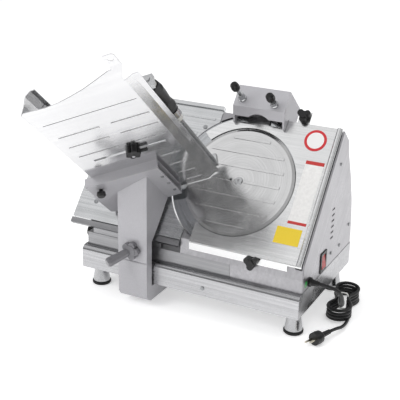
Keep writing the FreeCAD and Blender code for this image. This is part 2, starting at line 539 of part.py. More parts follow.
def lobed(name, place):
    """Three-lobed clamping knob turning about z; gives back its fixed stud."""
    lobes = [rod("7", "13", (8.5 * math.cos(math.radians(120 * i + 30)), 8.5 * math.sin(math.radians(120 * i + 30)),
                             "1")) for i in range(3)]
    node(name, cut(fuse(rod("8", "15", (0, 0, "1")), *lobes), rod("3", "12", (0, 0, "0"))), place)
    stud = group(rod("3 - run_gap", "12", (0, 0, "0")))
    stud.Placement = place
    return stud


studs = [placed(rod("6", "46", ("6", "guard_high - 2", "-30"), "y"), PLANE)]
studs.append(lobed("top_knob", PLANE.multiply(
    FreeCAD.Placement(V(98, val("guard_high") + 14, val(FRONT)), FreeCAD.Rotation()))))
low_y, low_z = [val(q) for q in pose("-guard_low - 2.2", FRONT)]
studs.append(lobed("low_knob", FreeCAD.Placement(V(148, low_y - 1.4, low_z - 9),
                                                 FreeCAD.Rotation(V(1, 0, 0), 90))))
node("housing_studs", group(*studs))

# ------------------------------------------------------------------------ side fittings
END = "base_long / 2"
bezel = cut(box(("6", "34", "44"), (END + " - 4", "113", "106")), box(("20", "22", "32"), (END + " - 10", "119", "112")))
flange = cut(bezel, box(("4.2", "40", "60"), (END + " - 4.2", "110", "100")))
neck = cut(box(("6", "27", "37"), (END + " - 6", "116.5", "109.5")),
           box(("20", "22", "32"), (END + " - 10", "119", "112")))
node("switch_bezel", fuse(flange, neck))
rocker = slab([("-4", "-14"), ("3.5", "-14"), ("1.2", "0"), ("0", "14"), ("-4", "14")], "21", "0")
node("switch_rocker", fuse(rocker, rod("3", "21", ("-3", "0", "0"))), FreeCAD.Placement(V(val(END), 140.5, 128), FreeCAD.Rotation(V(1, 0, 0), 90)))
node("cover_screws", group(*front_screws,
                           *[turned([("0", "0"), ("4", "0"), ("3.4", "2"), ("0", "2.4")], (END, y, z_), "x")
                             for y, z_ in (("233", "125"), ("178", "128"), ("290", "153"), ("203", "320"))]))
node("blank_labels", group(rod("7", "0.4", (END, "33", TOP + " + 15"), "x"),
                           placed(rod("24", "0.4", ("136", "118", FRONT)), PLANE),
                           placed(box(("40", "140", "0.4"), ("130", "-68", FRONT)), PLANE),
                           placed(box(("54", "36", "0.4"), ("112", "-113", FRONT)), PLANE)))

# ------------------------------------------------------------------------ cord
gx, gy, gz = val(END), 54.0, val(TOP) + 12.0
GLAND = FreeCAD.Placement(V(gx, gy, gz), FreeCAD.Rotation(V(0, 1, 0), 90))
node("cord_gland", turned([("0", "0"), ("10", "0"), ("10", "4"), ("7", "6"), ("5", "22"), ("0", "22")]),
     GLAND)
r = val("cord_r")
ROUTE = [V(gx + 22, gy, gz), V(gx + 68, gy, gz), V(gx + 70, gy + 32, gz - 48),
         V(gx + 51, gy + 56, gz - 70), V(gx + 36, gy + 96, r + 24.5)]


def tube(points, radius):
    """Straight runs joined by tangent arcs, swept with a round section."""
    parts, at, radii = [], points[0], []
    for a, b, c in zip(points, points[1:], points[2:]):
        into, away = (b - a), (c - b)
        turn = into.getAngle(away)
        bend = 0.45 * min(into.Length, away.Length) / math.tan(turn / 2)
        back = bend * math.tan(turn / 2)
        into.normalize()
        away.normalize()
        p, q = b - into * back, b + away * back
        middle = b + (away - into).normalize() * (bend / math.cos(turn / 2) - bend)
        parts += [Part.makeLine(at, p), Part.Arc(p, middle, q).toShape()]
        radii.append(round(bend, 1))
        at = q
    parts.append(Part.makeLine(at, points[-1]))
    wire = Part.Wire(parts)
    ring = Part.Wire([Part.makeCircle(radius, points[0], points[1] - points[0])])
    solid = wire.makePipeShell([ring], True, False)
    print("cord radii", radii, "length", round(wire.Length, 1), "volume share",
          round(solid.Volume / (math.pi * radius ** 2 * wire.Length), 4))
    return solid


cord = DOC.addObject("Part::Feature", "Lead")
cord.Shape = tube(ROUTE, r)
node("cord", cord, cord=True)
hank = DOC.addObject("Part::Feature", "Hank")
stretch = FreeCAD.Matrix()
stretch.scale(0.42, 1.25, 1.2)
hank.Shape = Part.makeTorus(52, 15, V(0, 0, 0), V(0, 0, 1)).transformGeometry(stretch)
hank.Placement = FreeCAD.Placement(V(gx + 34, gy + 130, 19), FreeCAD.Rotation(V(0, 0, 1), 6))
node("cord_hank", hank, cord=True)
PLUG = FreeCAD.Placement(V(gx + 40, 24, 14), FreeCAD.Rotation(V(0, 0, 1), V(-0.35, -0.93, 0.0)))
node("plug", turned([("0", "-30"), ("5", "-30"), ("6", "-8"), ("13", "0"), ("14", "8"), ("13.5", "18"), ("0", "18")]),
     PLUG, cord=True)
node("plug_pins", group(rod("2.2", "19", ("-6", "0", "18")), rod("2.2", "19", ("6", "0", "18"))), PLUG, cord=True)
DOC.recompute()

# ------------------------------------------------------------------------ checks and export
ALL = NODES + CORD
bad = []
for holder in ALL:
    for piece in holder.OutListRecursive:
        if "Invalid" in piece.State or "Error" in piece.State:
            bad.append((holder.Label, piece.Name, piece.State))
    if holder.Shape.isNull() or not holder.Shape.isValid() or not holder.Shape.Solids:
        bad.append((holder.Label, "shape"))
if bad:
    raise SystemExit("unsound: %s" % bad)
bounds = FreeCAD.BoundBox()
for holder in NODES:
    bounds.add(holder.Shape.optimalBoundingBox(False))
shift = V(-bounds.Center.x, -bounds.Center.y, 0)
os.makedirs("parts", exist_ok=True)
for holder in ALL:
    shape = holder.Shape.copy()
    shape.translate(shift)
    shape = shape.Solids[0] if len(shape.Solids) == 1 else Part.makeCompound(shape.Solids)
    shape.exportStep("parts/%s.step" % holder.Label)
print("nodes", len(ALL), "shift", shift, "size", bounds.XLength, bounds.YLength, bounds.ZLength, "low", bounds.ZMin)
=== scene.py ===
"""Studio scene of a gravity-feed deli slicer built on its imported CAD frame."""
from __future__ import annotations

import json
import logging
import math
from dataclasses import dataclass, field, replace
from enum import Enum
from typing import Any

import bmesh
import bpy
from mathutils import Matrix, Vector

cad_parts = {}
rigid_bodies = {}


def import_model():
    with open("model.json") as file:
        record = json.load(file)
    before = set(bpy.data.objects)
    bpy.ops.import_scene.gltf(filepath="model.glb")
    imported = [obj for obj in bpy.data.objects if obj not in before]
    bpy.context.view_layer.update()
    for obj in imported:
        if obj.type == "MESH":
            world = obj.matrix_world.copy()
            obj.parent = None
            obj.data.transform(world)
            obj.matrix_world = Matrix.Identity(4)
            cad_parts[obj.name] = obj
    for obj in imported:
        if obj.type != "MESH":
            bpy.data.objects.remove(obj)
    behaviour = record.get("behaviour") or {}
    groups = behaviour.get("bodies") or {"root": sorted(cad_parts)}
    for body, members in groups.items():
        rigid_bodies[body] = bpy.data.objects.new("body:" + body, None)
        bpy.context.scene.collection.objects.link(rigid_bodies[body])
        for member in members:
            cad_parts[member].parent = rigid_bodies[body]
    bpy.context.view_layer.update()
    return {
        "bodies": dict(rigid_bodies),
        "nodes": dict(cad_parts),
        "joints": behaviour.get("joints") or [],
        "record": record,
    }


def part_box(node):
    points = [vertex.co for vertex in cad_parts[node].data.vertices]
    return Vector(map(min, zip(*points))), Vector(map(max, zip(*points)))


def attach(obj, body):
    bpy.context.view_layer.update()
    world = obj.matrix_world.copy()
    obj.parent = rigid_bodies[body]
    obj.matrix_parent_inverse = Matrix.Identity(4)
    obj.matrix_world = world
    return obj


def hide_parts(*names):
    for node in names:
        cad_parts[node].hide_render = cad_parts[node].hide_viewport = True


LOG = logging.getLogger("slicer")
MM = 0.001
LEAN = math.radians(40.3)
TILT = math.radians(26.9)
UP_PLANE = Vector((0.0, math.sin(LEAN), math.cos(LEAN)))
OFF_PLANE = Vector((0.0, -math.cos(LEAN), math.sin(LEAN)))
ACROSS = Vector((math.cos(TILT), 0.0, 0.0)) + math.sin(TILT) * UP_PLANE
Socket = bpy.types.NodeSocket
Point = tuple[float, float, float]


def linear(code: str) -> tuple[float, float, float, float]:
    """Turns an sRGB hex colour into linear light.

    Args:
        code: Colour as "#rrggbb".

    Returns:
        Linear red, green and blue with full alpha.
    """
    parts = [int(code[i:i + 2], 16) / 255.0 for i in (1, 3, 5)]
    red, green, blue = [c / 12.92 if c <= 0.04045 else ((c + 0.055) / 1.055) ** 2.4 for c in parts]
    return red, green, blue, 1.0


def add(tree: bpy.types.NodeTree, kind: str, inputs: dict[Any, Any] | None = None,
        **props: Any) -> bpy.types.Node:
    """Adds a shader node with its settings and links.

    Args:
        tree: Node tree that takes the node.
        kind: Node type name.
        inputs: Value or source socket for each input, by name or index.
        **props: Attributes of the node.

    Returns:
        The new node.
    """
    node = tree.nodes.new(kind)
    for key, value in props.items():
        setattr(node, key, value)
    for key, value in (inputs or {}).items():
        socket = node.inputs[key]
        if isinstance(value, bpy.types.NodeSocket):
            tree.links.new(value, socket)
        else:
            socket.default_value = value
    return node


def calc(tree: bpy.types.NodeTree, operation: str, *values: Any) -> Socket:
    """Does one step of arithmetic in a node tree.

    Args:
        tree: Node tree being built.
        operation: Name of the operation.
        *values: Numbers or sockets, in the order of the node's inputs.

    Returns:
        The result.
    """
    return add(tree, "ShaderNodeMath", dict(enumerate(values)), operation=operation).outputs[0]


def vector(tree: bpy.types.NodeTree, operation: str, *values: Any) -> Socket:
    """Does one step of vector arithmetic in a node tree.

    Args:
        tree: Node tree being built.
        operation: Name of the operation.
        *values: Vectors or sockets, in the order of the node's inputs.

    Returns:
        The resulting vector, or number for a dot product or a length.
    """
    node = add(tree, "ShaderNodeVectorMath", dict(enumerate(values)), operation=operation)
    return node.outputs["Value" if operation in ("DOT_PRODUCT", "LENGTH") else "Vector"]


def scaled(tree: bpy.types.NodeTree, value: Any, factor: Any) -> Socket:
    """Multiplies a vector by a number.

    Args:
        tree: Node tree being built.
        value: Vector or socket.
        factor: Number or socket.

    Returns:
        The scaled vector.
    """
    return add(tree, "ShaderNodeVectorMath", {0: value, "Scale": factor}, operation="SCALE").outputs[0]


def mixed(tree: bpy.types.NodeTree, factor: Socket, low: Any, high: Any) -> Socket:
    """Mixes two colours.

    Args:
        tree: Node tree being built.
        factor: Share of the second colour.
        low: First colour or socket.
        high: Second colour or socket.

    Returns:
        The mixed colour.
    """
    return add(tree, "ShaderNodeMix", {0: factor, 6: low, 7: high}, data_type="RGBA").outputs[2]


class Grain(Enum):
    """Direction that a surface's finishing lines run."""

    ALONG_X = (1.0, 0.0, 0.0)
    ALONG_Y = (0.0, 1.0, 0.0)
    ALONG_Z = (0.0, 0.0, 1.0)
    UP_PLANE = tuple(UP_PLANE)
    TRAY = tuple(ACROSS)
    NONE = (0.0, 0.0, 0.0)


@dataclass(frozen=True)
class Finish:
    """Base of each surface finish: opens a material and closes it on a Principled shader."""

    name: str
    tint: str
    rough: float = 0.4
    edge_mm: float = 0.5

    def material(self) -> bpy.types.Material:
        """Builds the finish.

        Returns:
            The finished material.
        """
        mat = bpy.data.materials.new(self.name)
        mat.use_nodes = True
        tree = mat.node_tree
        tree.nodes.clear()
        space = add(tree, "ShaderNodeTexCoord").outputs["Object"]
        sockets = self.surface(tree, space)
        shader = add(tree, "ShaderNodeBsdfPrincipled", sockets)
        add(tree, "ShaderNodeOutputMaterial", {"Surface": shader.outputs[0]})
        return mat

    def surface(self, tree: bpy.types.NodeTree, space: Socket) -> dict[str, Any]:
        """Gives the Principled inputs of the finish.

        Args:
            tree: Node tree being built.
            space: Position on the object in metres.

        Returns:
            Input values and sockets by Principled input name.
        """
        raise NotImplementedError

    def edge(self, tree: bpy.types.NodeTree) -> Socket:
        """Gives a normal with softly broken edges."""
        return add(tree, "ShaderNodeBevel", {"Radius": self.edge_mm * MM}, samples=4).outputs["Normal"]

    def noise(self, tree: bpy.types.NodeTree, space: Socket, size_mm: float, detail: float = 3.0,
              rough: float = 0.55) -> Socket:
        """Gives a noise whose features are about a size in millimetres.

        Args:
            tree: Node tree being built.
            space: Position socket in metres.
            size_mm: Feature size.
            detail: Octaves.
            rough: Octave roughness.

        Returns:
            The noise factor.
        """
        inputs = {"Vector": space, "Scale": 1.0 / (size_mm * MM), "Detail": detail, "Roughness": rough}
        return add(tree, "ShaderNodeTexNoise", inputs).outputs[0]

    def spread(self, tree: bpy.types.NodeTree, factor: Socket, low: float, high: float,
               at: tuple[float, float] = (0.3, 0.7)) -> Socket:
        """Maps a factor onto a range.

        Args:
            tree: Node tree being built.
            factor: Incoming factor.
            low: Value at the low end.
            high: Value at the high end.
            at: Factor values taken as the two ends.

        Returns:
            The mapped value.
        """
        inputs = {"Value": factor, "From Min": at[0], "From Max": at[1], "To Min": low, "To Max": high}
        return add(tree, "ShaderNodeMapRange", inputs).outputs[0]

    def shade(self, tree: bpy.types.NodeTree, factor: Socket, dark: str, light: str,
              at: tuple[float, float] = (0.3, 0.7)) -> Socket:
        """Mixes two tints by a factor.

        Args:
            tree: Node tree being built.
            factor: Incoming factor.
            dark: Tint at the low end.
            light: Tint at the high end.
            at: Factor values taken as the two ends.

        Returns:
            The colour.
        """
        return mixed(tree, self.spread(tree, factor, 0.0, 1.0, at), linear(dark), linear(light))

    def bump(self, tree: bpy.types.NodeTree, height: Socket, depth_mm: float, strength: float,
             normal: Socket | None = None) -> Socket:
        """Raises a height field on the surface.

        Args:
            tree: Node tree being built.
            height: Height factor.
            depth_mm: Height of a full step.
            strength: Share of the effect.
            normal: Normal under the bump, or the softened edges.

        Returns:
            The bumped normal.
        """
        under = normal or self.edge(tree)
        inputs = {"Height": height, "Distance": depth_mm * MM, "Strength": strength, "Normal": under}
        return add(tree, "ShaderNodeBump", inputs).outputs[0]


@dataclass(frozen=True)
class Brushed(Finish):
    """Metal finished with a belt: long fine lines, faint cloudiness and wiping marks."""

    grain: Grain = Grain.ALONG_X
    line_mm: float = 0.5
    run_mm: float = 90.0
    lines: float = 0.22
    cloud: float = 0.06
    dark: str = "#b9babb"
    aniso: float = 0.45

    def surface(self, tree: bpy.types.NodeTree, space: Socket) -> dict[str, Any]:
        """Gives stretched lines along the grain over a cloudy metal."""
        axis = Vector(self.grain.value)
        onto = scaled(tree, tuple(axis), vector(tree, "DOT_PRODUCT", space, axis))
        across = vector(tree, "SUBTRACT", space, onto)
        place = vector(tree, "ADD", across, scaled(tree, onto, self.line_mm / self.run_mm))
        lines = self.noise(tree, place, self.line_mm, 2.0)
        cloud = self.noise(tree, space, 55.0, 3.0)
        smear = self.noise(tree, place, self.line_mm * 12, 4.0)
        color = self.shade(tree, calc(tree, "ADD", lines, smear), self.dark, self.tint, (0.7, 1.25))
        even = self.spread(tree, cloud, self.rough - self.cloud, self.rough + self.cloud)
        rough = calc(tree, "ADD", even, self.spread(tree, lines, -0.04, 0.05))
        inputs = {"Base Color": color, "Metallic": 1.0, "Roughness": rough,
                  "Normal": self.bump(tree, lines, 0.02, self.lines)}
        if axis.length:
            # The Tangent socket takes a link only, so the grain's direction comes through a node.
            side = vector(tree, "ADD", tuple(axis), (0.0, 0.0, 0.0))
            inputs.update({"Anisotropic": self.aniso, "Tangent": side})
        return inputs


@dataclass(frozen=True)
class GrooveShaded(Brushed):
    """Polished sheet with a groove across it near its upper end, where a near-black band is painted as shade
    in the groove.
    """

    centre: Point = (0.0, 0.0, 0.0)
    groove_mm: tuple[float, float] = (382.0, 383.6)
    span_mm: tuple[float, float] = (-254.0, -68.0)

    def band(self, tree: bpy.types.NodeTree, value: Socket, limits: tuple[float, float]) -> Socket:
        """Gives one between two limits.

        Args:
            tree: Node tree being built.
            value: Value in metres.
            limits: Low and high end in millimetres.

        Returns:
            One inside the limits and zero outside.
        """
        low = calc(tree, "GREATER_THAN", value, limits[0] * MM)
        high = calc(tree, "LESS_THAN", value, limits[1] * MM)
        return calc(tree, "MULTIPLY", low, high)

    def surface(self, tree: bpy.types.NodeTree, space: Socket) -> dict[str, Any]:
        """Gives the brushed sheet with painted shade along its groove."""
        inputs = super().surface(tree, space)
        from_c = vector(tree, "SUBTRACT", space, self.centre)
        out, side = (vector(tree, "DOT_PRODUCT", from_c, tuple(axis)) for axis in (OFF_PLANE, ACROSS))
        along, across = self.band(tree, out, self.groove_mm), self.band(tree, side, self.span_mm)
        # Near-black band along the groove: painted shade that stands in for the groove's own shading.
        groove_shade = calc(tree, "MULTIPLY", along, across)
        inputs["Base Color"] = mixed(tree, groove_shade, inputs["Base Color"], linear("#1c1c1e"))
        return inputs


@dataclass(frozen=True)
class Turned(Finish):
    """Metal turned on a lathe: fine rings about an axis through a centre."""

    centre: Point = (0.0, 0.0, 0.0)
    axis: Point = (0.0, 0.0, 1.0)
    ring_mm: float = 0.7
    dark: str = "#9fa1a3"
    lines: float = 0.25

    def surface(self, tree: bpy.types.NodeTree, space: Socket) -> dict[str, Any]:
        """Gives rings by distance from the axis and along it."""
        from_c = vector(tree, "SUBTRACT", space, self.centre)
        along = vector(tree, "DOT_PRODUCT", from_c, self.axis)
        radius = vector(tree, "LENGTH", vector(tree, "SUBTRACT", from_c, scaled(tree, self.axis, along)))
        place = add(tree, "ShaderNodeCombineXYZ", {0: radius, 1: along}).outputs[0]
        rings = self.noise(tree, place, self.ring_mm, 3.0, 0.7)
        cloud = self.noise(tree, space, 30.0, 3.0)
        color = self.shade(tree, rings, self.dark, self.tint)
        return {"Base Color": color, "Metallic": 1.0,
                "Roughness": self.spread(tree, cloud, self.rough - 0.05, self.rough + 0.07),
                "Normal": self.bump(tree, rings, 0.02, self.lines)}


@dataclass(frozen=True)
class Painted(Finish):
    """Baked enamel or powder coat on a casting: orange peel, faint speckle and rubbed edges."""

    peel_mm: float = 2.2
    fleck: str = "#6f7375"
    metal: float = 0.35
    coat: float = 0.15

    def surface(self, tree: bpy.types.NodeTree, space: Socket) -> dict[str, Any]:
        """Gives a fine peel over a slightly flecked coat."""
        peel = self.noise(tree, space, self.peel_mm, 2.0)
        fleck = self.noise(tree, space, 0.8, 2.0)
        wear = self.noise(tree, space, 40.0, 4.0)
        return {"Base Color": self.shade(tree, fleck, self.fleck, self.tint, (0.25, 0.6)),
                "Metallic": self.metal,
                "Roughness": self.spread(tree, wear, self.rough - 0.06, self.rough + 0.08),
                "Coat Weight": self.coat, "Coat Roughness": 0.25, "Normal": self.bump(tree, peel, 0.05, 0.35)}


@dataclass(frozen=True)
class Plastic(Finish):
    """Moulded plastic or rubber: spark texture, small dust and slight sheen."""

    dark: str = "#0c0c0d"
    texture_mm: float = 0.5
    depth: float = 0.3

    def surface(self, tree: bpy.types.NodeTree, space: Socket) -> dict[str, Any]:
        """Gives the mould's fine texture and a slightly uneven gloss."""
        spark = self.noise(tree, space, self.texture_mm, 2.0)
        wear = self.noise(tree, space, 18.0, 4.0)
        return {"Base Color": self.shade(tree, wear, self.dark, self.tint), "Specular IOR Level": 0.45,
                "Roughness": self.spread(tree, wear, self.rough - 0.06, self.rough + 0.08),
                "Normal": self.bump(tree, spark, 0.03, self.depth)}


@dataclass(frozen=True)
class Vinyl(Finish):
    """Blank vinyl and plastic plates: a white strip with red ends, a yellow plate and two plain discs.

    Heights are measured up the guard plate from the knife's centre and the green disc's edge across it.
    """

    centre: Point = (0.0, 0.0, 0.0)
    strip_top_mm: float = 64.0
    strip_low_mm: float = 62.0
    yellow_mm: float = 69.0
    disc_from_mm: float = 80.0
    disc_mm: tuple[float, float] = (136.0, 118.0)
    ring_mm: float = 19.0
    green_mm: float = 180.0

    def surface(self, tree: bpy.types.NodeTree, space: Socket) -> dict[str, Any]:
        """Colours each blank plate by where it sits on the inclined guard."""
        from_c = vector(tree, "SUBTRACT", space, self.centre)
        side = add(tree, "ShaderNodeSeparateXYZ", {0: from_c}).outputs[0]
        height = vector(tree, "DOT_PRODUCT", from_c, tuple(UP_PLANE))

        def above(value: Socket, edge_mm: float) -> Socket:
            """Gives one where a value passes an edge."""
            return calc(tree, "GREATER_THAN", value, edge_mm * MM)

        def pick(base: Any, other: str, factor: Socket) -> Socket:
            """Takes the other tint where the factor is one."""
            return mixed(tree, factor, base, linear(other))

        fine = self.noise(tree, space, 6.0, 3.0)
        white = self.shade(tree, fine, "#efeeec", "#fbfaf8")
        color = pick(white, "#c8302c", above(height, self.strip_top_mm))
        lower = calc(tree, "MULTIPLY", height, -1.0)
        color = pick(color, "#c8302c", above(lower, self.strip_low_mm))
        color = pick(color, "#f3d32b", above(lower, self.yellow_mm))
        disc = self.disc_mm[0] * MM * Vector((1.0, 0.0, 0.0)) + self.disc_mm[1] * MM * UP_PLANE
        reach = vector(tree, "LENGTH", vector(tree, "SUBTRACT", from_c, tuple(disc)))
        color = pick(color, "#f7f6f4", above(height, self.disc_from_mm))
        ring = calc(tree, "MULTIPLY", above(height, self.disc_from_mm), above(reach, self.ring_mm))
        color = pick(color, "#d2232a", ring)
        color = pick(color, "#2f9e4a", above(side, self.green_mm))
        return {"Base Color": color, "Roughness": self.rough, "Coat Weight": 0.3,
                "Normal": self.bump(tree, fine, 0.03, 0.15)}


# Stainless sheet, belt-ground along its length before it was folded.
BASE_SHEET = Brushed("brushed_stainless_base", "#c6c6c8", 0.27, dark="#a9a9ab")
# Stainless sheet ground up its slope, cut and bent into the housing and its end.
PANEL_SHEET = Brushed("brushed_stainless_panel", "#b3b2b5", 0.30, grain=Grain.UP_PLANE, run_mm=60.0,
                      dark="#a09fa2")
# The same sheet with a coarser satin, its tint darkened as painted shade for the riser under the guard
# plate's lip.
SHADED_RISER_SHEET = Brushed("shade_darkened_satin_riser", "#a5a5a7", 0.34, dark="#8d8d8f")
# Stainless plate polished with felt after it was cut.
GUARD_PLATE = Brushed("polished_stainless_guard", "#f0f0f0", 0.20, line_mm=0.35, lines=0.10, dark="#dcdddd",
                      cloud=0.04, aniso=0.2)
# Polished sheet, rolled and ribbed, with painted shade along the groove across its upper end.
TRAY_SHEET = GrooveShaded("polished_stainless_tray", "#f0f0f0", 0.17, grain=Grain.TRAY, line_mm=0.35, lines=0.08,
                    dark="#dedee0", cloud=0.05, aniso=0.3)
# Milled aluminium, ribbed and anodised clear.
GAUGE_SHEET = Brushed("anodised_gauge_plate", "#dedfe0", 0.26, line_mm=0.4, lines=0.15, dark="#bfc1c2")
# Disc turned and polished on a lathe, which leaves faint rings.
KNIFE_COVER = Turned("polished_knife_cover", "#e2e2e2", 0.19, axis=tuple(OFF_PLANE), ring_mm=0.9,
                     dark="#cccccc", lines=0.08)
# Hardened steel, ground while it turns.
BLADE_STEEL = Turned("ground_blade_steel", "#dadcde", 0.16, axis=tuple(OFF_PLANE), ring_mm=0.5,
                     dark="#8f9294", lines=0.3)
# Cones turned from bar and tumbled.
FOOT_STEEL = Brushed("turned_stainless_feet", "#b6b6b8", 0.26, grain=Grain.NONE, line_mm=1.5)
# Sand castings, shot-blasted and baked with a silver-grey enamel.
CASTING_ENAMEL = Painted("silver_grey_enamel_casting", "#c6c5c9", 0.36, fleck="#b2b1b5", metal=0.25)
# The same enamel in a darker grey, on the lever alone.
LEVER_ENAMEL = Painted("grey_lever_enamel", "#8a898d", 0.36, fleck="#767579")
# Dipped motor can.
MOTOR_ENAMEL = Painted("dark_motor_enamel", "#5b5f62", 0.5)
# Bar and plate machined bright and left bare.
BRIGHT_STEEL = Brushed("bright_steel_fittings", "#c9cacb", 0.22, grain=Grain.NONE, line_mm=1.2)
# Screws, blackened a little by their heat treatment.
SCREW_STEEL = Brushed("dark_screw_steel", "#8b8d90", 0.3, grain=Grain.NONE, line_mm=1.0)
# Moulded nylon, left natural.
NYLON = Plastic("nylon_bushing", "#e9e8e4", 0.4, dark="#d8d7d2")
# Black ABS from a spark-eroded mould.
BLACK_ABS = Plastic("black_abs", "#1a1a1b", 0.33)
# Moulded rubber, dusty and matt.
RUBBER = Plastic("black_rubber", "#161616", 0.62, texture_mm=0.9)
# Red polycarbonate, moulded and glossy.
ROCKER_RED = Plastic("red_rocker_polycarbonate", "#d3201f", 0.22, dark="#b81716", depth=0.1)
# Brass pins, nickelled thinly enough to keep a warm tint.
PIN_BRASS = Brushed("nickelled_brass_pins", "#cfc7ae", 0.25, grain=Grain.NONE)
# Blank vinyl and plastic, printed with plain colour only.
BLANK_VINYL = Vinyl("blank_vinyl", "#ffffff", 0.35)
# Soft PVC extruded over the wires.
JACKET = Plastic("pvc_cord_jacket", "#232325", 0.36, texture_mm=0.4)
# Cable tie moulded in nylon.
STRAP = Plastic("white_nylon_strap", "#f2f2ef", 0.35, dark="#dededa")


@dataclass
class Studio:
    """Camera, floor, lamps and surroundings."""

    eye_mm: Point = (815.66, -1542.41, 943.45)
    azimuth: float = 26.8765
    elevation: float = 21.5216
    roll: float = 1.1245
    focal_px: float = 916.285
    lift: float = 0.42
    frame_px: int = 400
    sensor_mm: float = 36.0
    floor_m: float = 60.0
    floor_at_m: float = -0.0004
    sky: tuple[tuple[float, float], ...] = ((0.47, 0.32), (0.53, 0.20), (0.60, 0.20), (0.70, 0.46),
                                            (0.80, 0.82), (0.88, 0.95))
    sky_ends: tuple[float, float] = (0.4, 0.7)
    sky_swing: tuple[float, float] = (0.62, 1.04)

    def camera(self) -> None:
        """Places the camera at the three-quarter view."""
        data = bpy.data.cameras.new("view")
        eye = bpy.data.objects.new("view", data)
        bpy.context.scene.collection.objects.link(eye)
        data.sensor_width = self.sensor_mm
        data.lens = self.focal_px * self.sensor_mm / self.frame_px
        data.clip_end = 40.0
        az, el, roll = (math.radians(v) for v in (self.azimuth, self.elevation, self.roll))
        right = Vector((math.cos(az), math.sin(az), 0.0))
        back = Vector((math.sin(az) * math.cos(el), -math.cos(az) * math.cos(el), math.sin(el)))
        up = back.cross(right)
        turn_right = math.cos(roll) * right + math.sin(roll) * up
        turn_up = -math.sin(roll) * right + math.cos(roll) * up
        frame = Matrix((turn_right, turn_up, back)).transposed().to_4x4()
        eye.matrix_world = Matrix.Translation(Vector(self.eye_mm) * MM) @ frame
        bpy.context.scene.camera = eye

    def shown(self, tree: bpy.types.NodeTree) -> Socket:
        """Tells the rays that show the background from those that light the machine.

        Args:
            tree: Node tree being built.

        Returns:
            One for camera, glossy and transmission rays, and zero for the rest.
        """
        path = add(tree, "ShaderNodeLightPath").outputs
        seen = calc(tree, "MAXIMUM", path["Is Camera Ray"], path["Is Glossy Ray"])
        return calc(tree, "MAXIMUM", seen, path["Is Transmission Ray"])

    def floor(self) -> None:
        """Lays a large pale floor."""
        bpy.ops.mesh.primitive_plane_add(size=self.floor_m, location=(0.0, 0.0, self.floor_at_m))
        plane = bpy.context.object
        plane.name = "floor"
        mat = bpy.data.materials.new("matt_white_paper")
        mat.use_nodes = True
        tree = mat.node_tree
        space = add(tree, "ShaderNodeTexCoord").outputs["Object"]
        tone = add(tree, "ShaderNodeTexNoise", {"Vector": space, "Scale": 3.0}).outputs[0]
        white = mixed(tree, tone, linear("#fbfbfb"), linear("#ffffff"))
        matt = tree.nodes["Principled BSDF"]
        tree.links.new(white, matt.inputs["Base Color"])
        matt.inputs["Roughness"].default_value = 0.9
        lift = calc(tree, "MULTIPLY", self.shown(tree), self.lift)
        glow = add(tree, "ShaderNodeEmission", {"Color": (1.0, 1.0, 1.0, 1.0), "Strength": lift}).outputs[0]
        both = add(tree, "ShaderNodeAddShader", {0: matt.outputs[0], 1: glow}).outputs[0]
        tree.links.new(both, tree.nodes["Material Output"].inputs["Surface"])
        plane.data.materials.append(mat)

    def lamp(self, name: str, at: Point, size: tuple[float, float], watts: float,
             aim: Point = (0.0, 0.0, 0.25)) -> None:
        """Adds a soft panel aimed at the machine.

        Args:
            name: Name of the lamp.
            at: Position in metres.
            size: Width and height in metres.
            watts: Power.
            aim: Point that it faces.
        """
        data = bpy.data.lights.new(name, "AREA")
        data.shape = "RECTANGLE"
        data.size, data.size_y = size
        data.energy = watts
        lamp = bpy.data.objects.new(name, data)
        lamp.visible_glossy = False
        bpy.context.scene.collection.objects.link(lamp)
        lamp.location = at
        lamp.rotation_euler = (Vector(aim) - Vector(at)).to_track_quat("-Z", "Y").to_euler()

    def surroundings(self) -> None:
        """Gives a studio that is bright above and darker near the horizon."""
        world = bpy.data.worlds.new("studio")
        bpy.context.scene.world = world
        world.use_nodes = True
        tree = world.node_tree
        tree.nodes.clear()
        way = add(tree, "ShaderNodeTexCoord").outputs["Generated"]
        split = add(tree, "ShaderNodeSeparateXYZ", {0: way})
        full = {"From Min": -1.0, "From Max": 1.0}
        height = add(tree, "ShaderNodeMapRange", {"Value": split.outputs[2], **full}).outputs[0]
        ramp = add(tree, "ShaderNodeValToRGB", {0: height})
        marks = ramp.color_ramp.elements
        for mark, place, level in zip(list(marks), (0.0, 1.0), self.sky_ends):
            mark.position, mark.color = place, (level, level, level, 1.0)
        for place, level in self.sky:
            marks.new(place).color = (level, level, level * 1.01, 1.0)
        around = calc(tree, "ARCTAN2", split.outputs[1], split.outputs[0])
        wave = calc(tree, "SINE", calc(tree, "MULTIPLY", around, 2.0))
        low, high = self.sky_swing
        inputs = {"Value": wave, **full, "To Min": low, "To Max": high}
        swing = add(tree, "ShaderNodeMapRange", inputs).outputs[0]
        lit = add(tree, "ShaderNodeBackground", {"Color": ramp.outputs[0], "Strength": swing})
        add(tree, "ShaderNodeOutputWorld", {0: lit.outputs[0]})

    def build(self) -> None:
        """Makes the whole studio."""
        self.camera()
        self.floor()
        self.surroundings()
        self.lamp("key_panel", (-1.2, -2.1, 2.1), (1.3, 1.3), 27.0)
        self.lamp("side_panel", (2.4, -0.4, 1.6), (0.9, 1.4), 3.5)
        self.lamp("top_panel", (0.1, 0.4, 2.6), (1.8, 1.2), 13.0)
        bpy.context.scene.view_settings.view_transform = "Standard"


